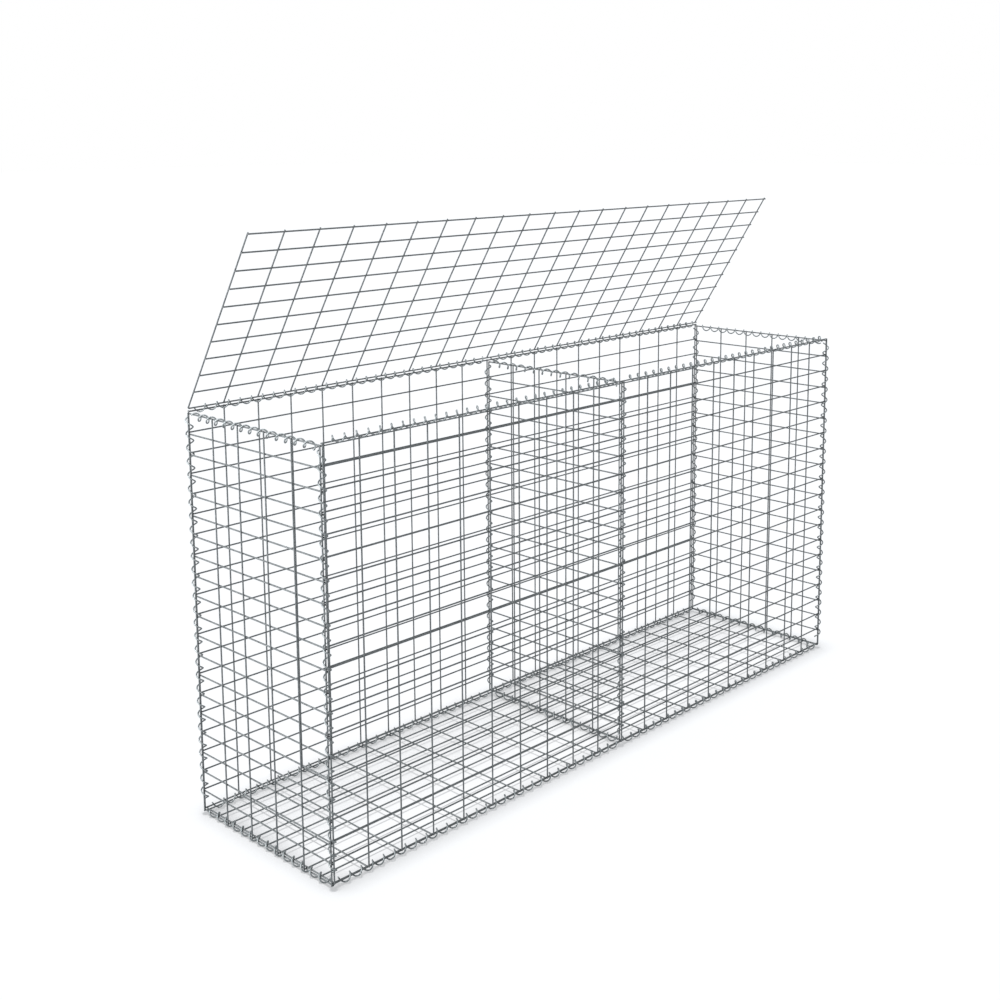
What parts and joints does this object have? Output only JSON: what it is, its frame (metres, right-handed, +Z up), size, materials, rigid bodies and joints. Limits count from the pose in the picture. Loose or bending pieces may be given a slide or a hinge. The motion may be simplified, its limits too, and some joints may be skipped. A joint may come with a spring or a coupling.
{
  "type": "gabion wall basket",
  "caption": "Long empty gabion wall basket of welded wire mesh, divided into two bays, its panels laced together with wire spirals and its mesh lid hinged open along the back.",
  "frame": {"origin": "centre of the basket's footprint, on the ground", "axes": "+X along the length to the right seen from the front, +Y from the front to the back where the lid is hinged, +Z up"},
  "size_m": [2.0204, 0.5216, 1.4511],
  "materials": {
    "mesh_wire": "galvanised, satin",
    "spiral_wire": "galvanised, satin"
  },
  "bodies": {
    "basket": {"front_panel": "mesh_wire", "back_panel": "mesh_wire", "left_end_panel": "mesh_wire", "right_end_panel": "mesh_wire", "divider_panel": "mesh_wire", "base_panel": "mesh_wire", "corner_spiral_front_left": "spiral_wire", "corner_spiral_front_right": "spiral_wire", "corner_spiral_back_left": "spiral_wire", "corner_spiral_back_right": "spiral_wire", "divider_spiral_front": "spiral_wire", "divider_spiral_back": "spiral_wire", "base_spiral_front_left": "spiral_wire", "base_spiral_front_right": "spiral_wire", "base_spiral_back_left": "spiral_wire", "base_spiral_back_right": "spiral_wire", "base_spiral_left": "spiral_wire", "base_spiral_right": "spiral_wire", "base_spiral_divider": "spiral_wire", "top_spiral_front_left": "spiral_wire", "top_spiral_front_right": "spiral_wire", "top_spiral_left": "spiral_wire", "top_spiral_right": "spiral_wire", "top_spiral_divider": "spiral_wire", "hinge_spiral_left": "spiral_wire", "hinge_spiral_right": "spiral_wire"},
    "lid": {"lid_panel": "mesh_wire"}
  },
  "joints": [
    {"name": "lid_hinge", "type": "hinge", "parent": "basket", "child": "lid", "pos_m": [0, 0.2507, 1.02283], "axis": [-1, 0, 0], "range_deg": [-56, 120]}
  ]
}
